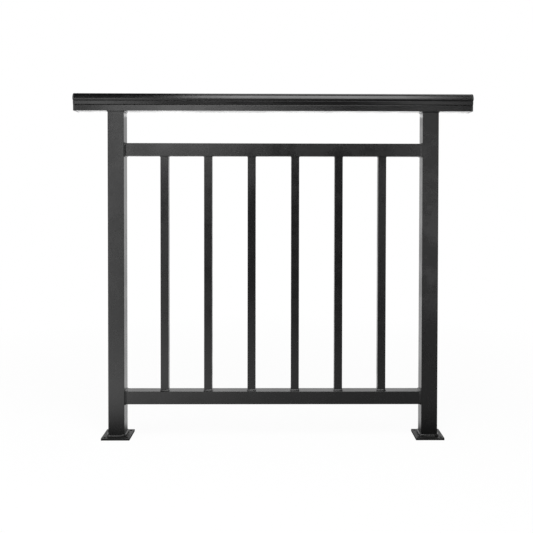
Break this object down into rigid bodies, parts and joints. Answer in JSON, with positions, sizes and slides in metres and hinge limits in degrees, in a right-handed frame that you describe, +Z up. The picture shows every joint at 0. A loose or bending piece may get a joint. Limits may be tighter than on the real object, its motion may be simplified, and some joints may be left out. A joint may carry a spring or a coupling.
{
  "type": "welded metal balustrade section",
  "caption": "Level guard-rail section: square posts on bolt-down plates, rails with square balusters between them, and a moulded handrail that runs on past the posts.",
  "frame": {"origin": "middle of the underside of the left base plate, where the section is bolted down", "axes": "+X along the rail to the right post, +Y through the section to its back, +Z up the posts"},
  "size_m": [1.23, 0.088, 1.068],
  "materials": {
    "powder_coat": "satin black powder coat on aluminium",
    "weld_bead": "rippled weld bead under the same black powder coat",
    "cap_plastic": "fine-grained black moulding"
  },
  "bodies": {
    "root": {"left_base_plate": "powder_coat", "left_post": "powder_coat", "left_base_weld": "weld_bead", "left_post_top_weld": "weld_bead", "right_base_plate": "powder_coat", "right_post": "powder_coat", "right_base_weld": "weld_bead", "right_post_top_weld": "weld_bead", "upper_rail": "powder_coat", "upper_rail_left_weld": "weld_bead", "upper_rail_right_weld": "weld_bead", "lower_rail": "powder_coat", "lower_rail_left_weld": "weld_bead", "lower_rail_right_weld": "weld_bead", "baluster_1": "powder_coat", "baluster_1_foot_weld": "weld_bead", "baluster_1_head_weld": "weld_bead", "baluster_2": "powder_coat", "baluster_2_foot_weld": "weld_bead", "baluster_2_head_weld": "weld_bead", "baluster_3": "powder_coat", "baluster_3_foot_weld": "weld_bead", "baluster_3_head_weld": "weld_bead", "baluster_4": "powder_coat", "baluster_4_foot_weld": "weld_bead", "baluster_4_head_weld": "weld_bead", "baluster_5": "powder_coat", "baluster_5_foot_weld": "weld_bead", "baluster_5_head_weld": "weld_bead", "baluster_6": "powder_coat", "baluster_6_foot_weld": "weld_bead", "baluster_6_head_weld": "weld_bead", "handrail": "powder_coat", "handrail_left_end_cap": "cap_plastic", "handrail_right_end_cap": "cap_plastic"}
  },
  "joints": []
}
